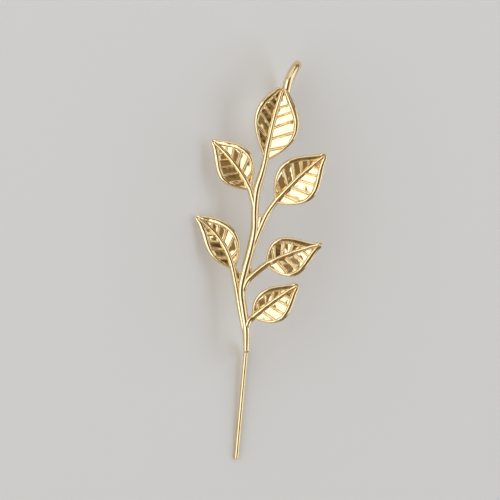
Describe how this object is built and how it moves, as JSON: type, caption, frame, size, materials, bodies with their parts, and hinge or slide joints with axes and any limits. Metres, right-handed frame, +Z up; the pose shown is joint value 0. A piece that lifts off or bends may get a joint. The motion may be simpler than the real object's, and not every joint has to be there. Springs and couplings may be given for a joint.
{
  "type": "leaf ear cuff",
  "caption": "Gold leafy sprig ear cuff with a wire hook that goes over the ear's rim and a straight pin that passes through the lobe.",
  "frame": {"origin": "centre of the bounding box on the surface that the cuff lies on", "axes": "+Z up from that surface, +Y along the sprig from the pin's end to the hook, +X towards the side with three leaves"},
  "size_m": [0.0198, 0.071, 0.0148],
  "materials": {
    "gold": "polished pale yellow gold plate"
  },
  "bodies": {
    "root": {"ear_cuff": "gold"}
  },
  "joints": []
}
